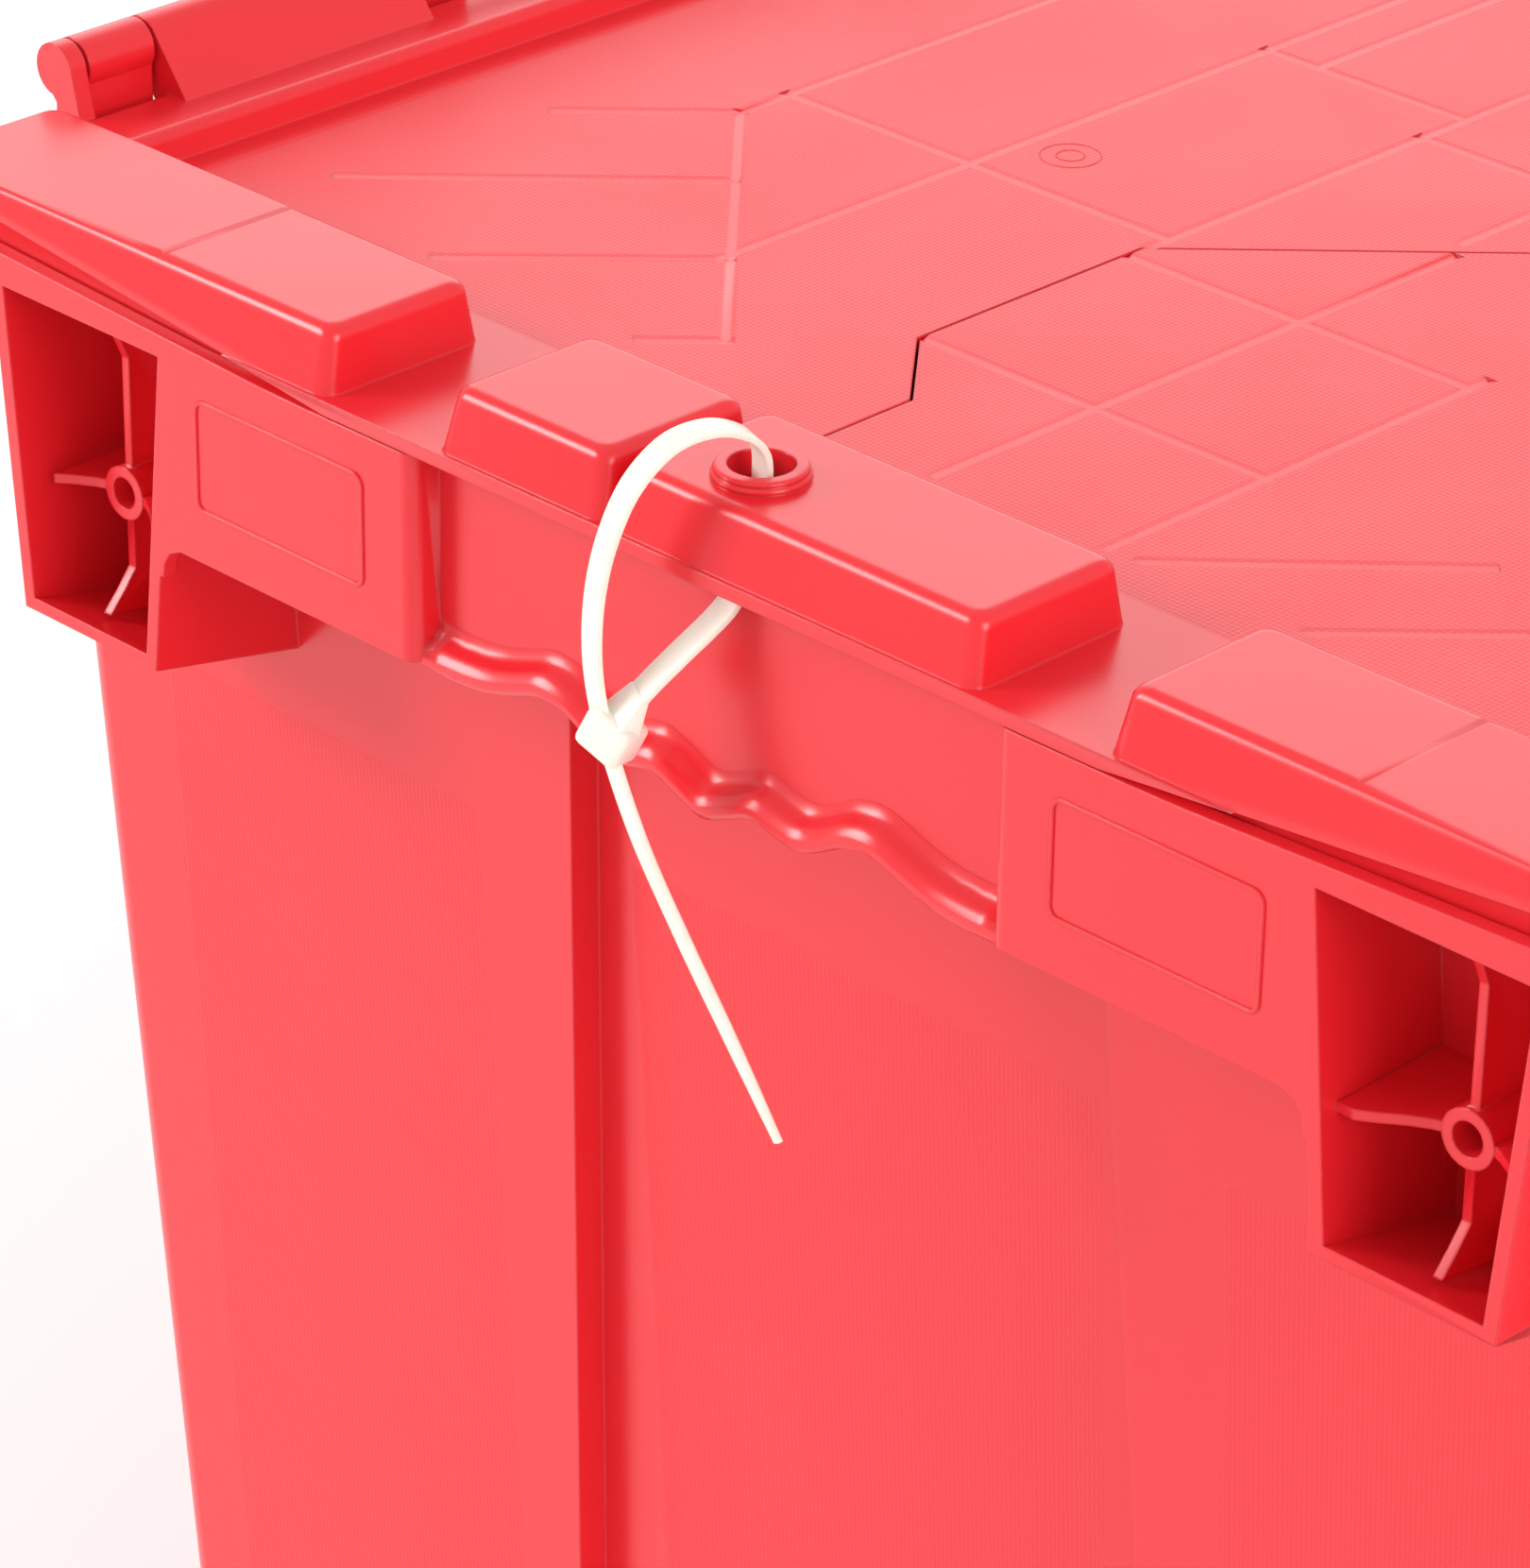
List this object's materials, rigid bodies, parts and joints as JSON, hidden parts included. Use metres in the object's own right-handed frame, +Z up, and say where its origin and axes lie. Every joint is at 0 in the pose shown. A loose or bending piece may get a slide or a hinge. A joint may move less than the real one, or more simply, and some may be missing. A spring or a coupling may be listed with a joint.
{
  "type": "attached lid tote",
  "caption": "Tapering plastic tote with hinged interlocking lid halves, moulded hand grips, corner boxes, steel hinge rods and a cable tie through the lid's eyelet.",
  "frame": {"origin": "centre of the tote's floor, on its underside", "axes": "+X along the long side towards the end without the cable tie, +Y across towards the left lid's hinge, +Z up"},
  "size_m": [0.5686, 0.3874, 0.4417],
  "materials": {
    "tote_plastic": "satin moulded polyethylene with fine grained panels",
    "lid_plastic": "satin moulded polyethylene",
    "rod_steel": "plated wire rod",
    "tie_nylon": "natural nylon"
  },
  "bodies": {
    "tote": {"tote_body": "tote_plastic", "hinge_rod_left": "rod_steel", "hinge_rod_right": "rod_steel"},
    "lid_left": {"lid_left": "lid_plastic"},
    "lid_right": {"lid_right": "lid_plastic", "cable_tie": "tie_nylon"}
  },
  "joints": [
    {"name": "left_lid_hinge", "type": "hinge", "parent": "tote", "child": "lid_left", "pos_m": [0, 0.1891, 0.4336], "axis": [-1, 0, 0], "range_deg": [0, 270]},
    {"name": "right_lid_hinge", "type": "hinge", "parent": "tote", "child": "lid_right", "pos_m": [0, -0.1891, 0.4336], "axis": [1, 0, 0], "range_deg": [0, 270]}
  ]
}
